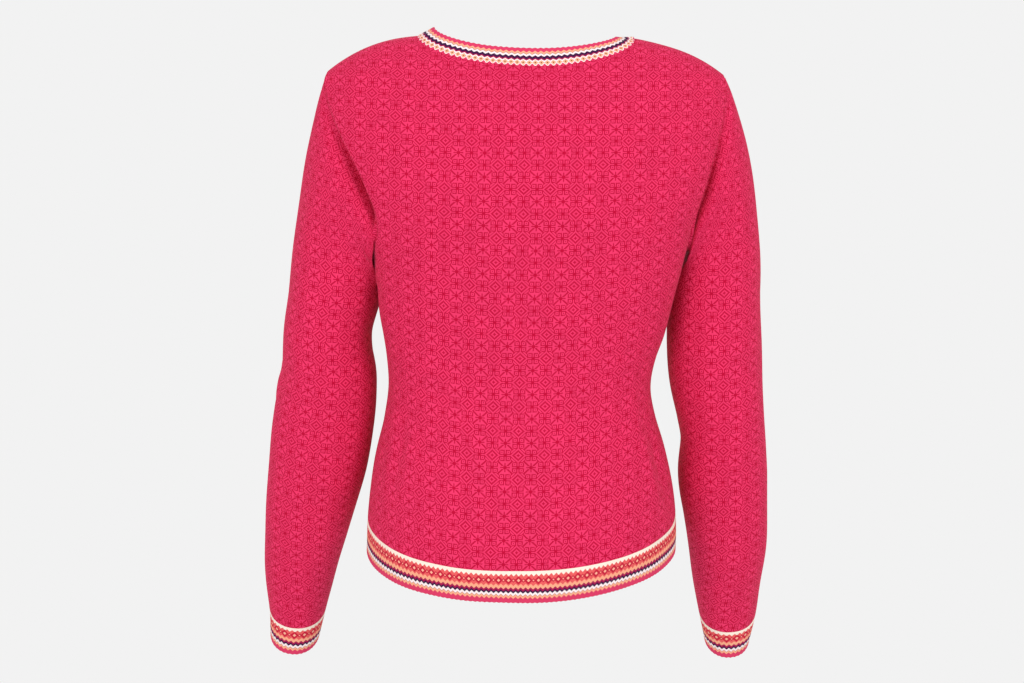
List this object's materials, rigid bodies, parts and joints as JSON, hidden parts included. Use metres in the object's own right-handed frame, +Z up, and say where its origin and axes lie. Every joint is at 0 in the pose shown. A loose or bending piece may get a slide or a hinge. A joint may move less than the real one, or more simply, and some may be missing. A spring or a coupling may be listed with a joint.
{
  "type": "zip-up cardigan",
  "caption": "Women's zip-up cardigan of fine jacquard knit, filled out as worn, with long sleeves and patterned bands at neck, cuffs and hem.",
  "frame": {"origin": "midway between the two high shoulder points, where the wearer's shoulders and neck carry it", "axes": "+Z up, the zip faces -Y, the back faces +Y, the wearer's left sleeve is on +X"},
  "size_m": [0.5295, 0.261, 0.6693],
  "materials": {
    "knit": "fine two-tone crimson and pink jacquard knit, matt",
    "band": "jacquard band in cream, coral, peach, purple, white and pink, matt",
    "tape": "woven crimson zip tape",
    "zip": "satin nickel-plated zip metal"
  },
  "bodies": {
    "garment": {"back": "knit", "front_left": "knit", "front_right": "knit", "sleeve_left": "knit", "sleeve_right": "knit", "cuff_left": "band", "cuff_right": "band", "hem_band": "band", "neck_band": "band", "zip_tape_left": "tape", "zip_tape_right": "tape", "zip_chain": "zip", "zip_box": "zip", "zip_stop_left": "zip", "zip_stop_right": "zip", "zip_slider": "zip"},
    "pull": {"zip_pull": "zip"}
  },
  "joints": [
    {"name": "pull_hinge", "type": "hinge", "parent": "garment", "child": "pull", "pos_m": [-0.00173, -0.09415, -0.08104], "axis": [-1, 0, -0.0031], "range_deg": [0, 165]}
  ]
}
